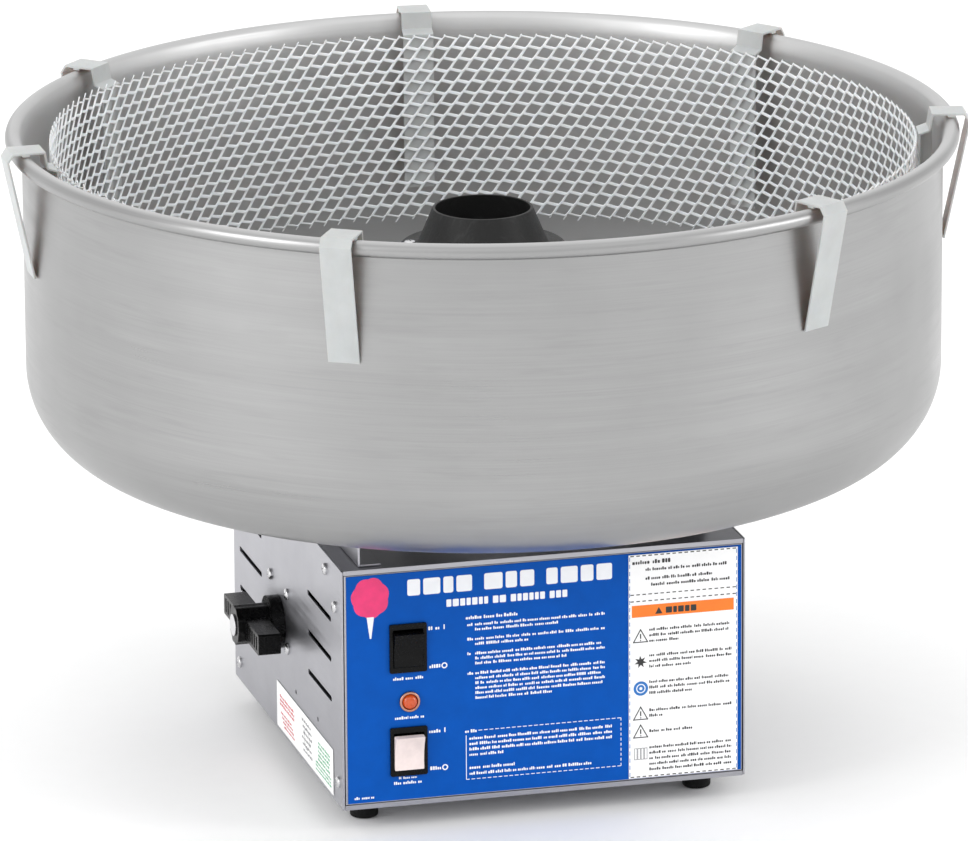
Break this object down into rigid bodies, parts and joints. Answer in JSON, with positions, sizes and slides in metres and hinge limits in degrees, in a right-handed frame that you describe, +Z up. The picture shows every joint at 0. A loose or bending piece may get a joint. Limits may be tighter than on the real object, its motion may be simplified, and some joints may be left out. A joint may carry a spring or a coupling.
{
  "type": "cotton candy machine",
  "caption": "Counter-top cotton candy machine: a steel case with switches and a side knob, a wide spun bowl with a clipped-in net, and a spinning head in its middle.",
  "frame": {"origin": "on the counter, straight under the spinner axis", "axes": "+Z up along the spinner axis, -Y towards the front panel, +X to the right seen from the front"},
  "size_m": [0.6705, 0.6672, 0.4582],
  "materials": {
    "case_steel": "brushed sheet",
    "front_sheet": "printed blue sheet, satin",
    "label_stock": "printed white film",
    "foot_rubber": "moulded",
    "soft_rubber": "extruded",
    "bowl_aluminium": "spun, satin with fine rings",
    "cast_aluminium": "turned",
    "black_plastic": "moulded",
    "pale_plastic": "moulded",
    "clip_plastic": "milky, slightly translucent",
    "plated_steel": "plated",
    "amber_lens": "translucent orange",
    "machined_steel": "machined",
    "phenolic": "machined laminate",
    "brass": "turned",
    "carbon": "pressed carbon",
    "head_black": "black satin enamel"
  },
  "bodies": {
    "machine_base": {"base_pan": "case_steel", "front_panel": "case_steel", "back_panel": "case_steel", "left_side_panel": "case_steel", "right_side_panel": "case_steel", "top_plate": "case_steel", "left_bowl_bracket": "case_steel", "right_bowl_bracket": "case_steel", "motor_plate": "case_steel", "control_bracket": "case_steel", "front_overlay": "front_sheet", "rating_label": "label_stock", "side_label": "label_stock", "foot_front_left": "foot_rubber", "foot_back_left": "foot_rubber", "foot_front_right": "foot_rubber", "foot_back_right": "foot_rubber", "motor_isolator": "soft_rubber", "neck_guard": "cast_aluminium", "motor_housing": "cast_aluminium", "motor_end_bell": "cast_aluminium", "power_switch_bezel": "black_plastic", "candy_switch_bezel": "black_plastic", "heat_control": "black_plastic", "cord_gland": "black_plastic", "lamp_ring": "plated_steel", "brush_spring_a": "plated_steel", "brush_spring_b": "plated_steel", "lamp_lens": "amber_lens", "motor_stator": "machined_steel", "brush_block": "phenolic", "brush_holder_a": "brass", "brush_holder_b": "brass"},
    "spinner": {"spinner_shaft": "machined_steel", "motor_rotor": "machined_steel", "cooling_fan": "black_plastic", "slip_ring_sleeve": "phenolic", "lower_slip_ring": "brass", "upper_slip_ring": "brass", "head_base": "cast_aluminium", "heater_ribbon": "plated_steel", "head_band": "plated_steel", "head_cap": "head_black"},
    "bowl": {"floss_bowl": "bowl_aluminium", "bowl_hole_trim": "soft_rubber", "rim_clip_1": "clip_plastic", "rim_clip_2": "clip_plastic", "rim_clip_3": "clip_plastic", "rim_clip_4": "clip_plastic", "rim_clip_5": "clip_plastic", "rim_clip_6": "clip_plastic", "rim_clip_7": "clip_plastic"},
    "net": {"stabilizer_net": "clip_plastic"},
    "heat_knob_body": {"heat_knob": "black_plastic", "knob_disc": "cast_aluminium", "knob_shaft": "plated_steel"},
    "power_rocker_body": {"power_rocker": "black_plastic"},
    "candy_rocker_body": {"candy_rocker": "pale_plastic"},
    "brush_a": {"carbon_brush_a": "carbon"},
    "brush_b": {"carbon_brush_b": "carbon"}
  },
  "joints": [
    {"name": "spinner_spin", "type": "hinge", "parent": "machine_base", "child": "spinner", "pos_m": [0, 0, 0.3], "axis": [0, 0, 1], "continuous": true},
    {"name": "bowl_lift", "type": "slide", "parent": "machine_base", "child": "bowl", "axis": [0, 0, 1], "range_m": [0, 0.25]},
    {"name": "net_lift", "type": "slide", "parent": "bowl", "child": "net", "axis": [0, 0, 1], "range_m": [0, 0.2]},
    {"name": "heat_knob_turn", "type": "hinge", "parent": "machine_base", "child": "heat_knob_body", "pos_m": [-0.15, 0.022, 0.0985], "axis": [1, 0, 0], "range_deg": [0, 300]},
    {"name": "power_rocker_tilt", "type": "hinge", "parent": "machine_base", "child": "power_rocker_body", "pos_m": [-0.09685, -0.1595, 0.1306], "axis": [-1, 0, 0], "range_deg": [0, 18]},
    {"name": "candy_rocker_tilt", "type": "hinge", "parent": "machine_base", "child": "candy_rocker_body", "pos_m": [-0.09685, -0.1595, 0.0565], "axis": [-1, 0, 0], "range_deg": [0, 18]},
    {"name": "brush_a_slide", "type": "slide", "parent": "machine_base", "child": "brush_a", "axis": [1, 0, 0], "range_m": [0, 0.002], "deforming": ["brush_spring_a"]},
    {"name": "brush_b_slide", "type": "slide", "parent": "machine_base", "child": "brush_b", "axis": [-1, 0, 0], "range_m": [0, 0.002], "deforming": ["brush_spring_b"]}
  ]
}
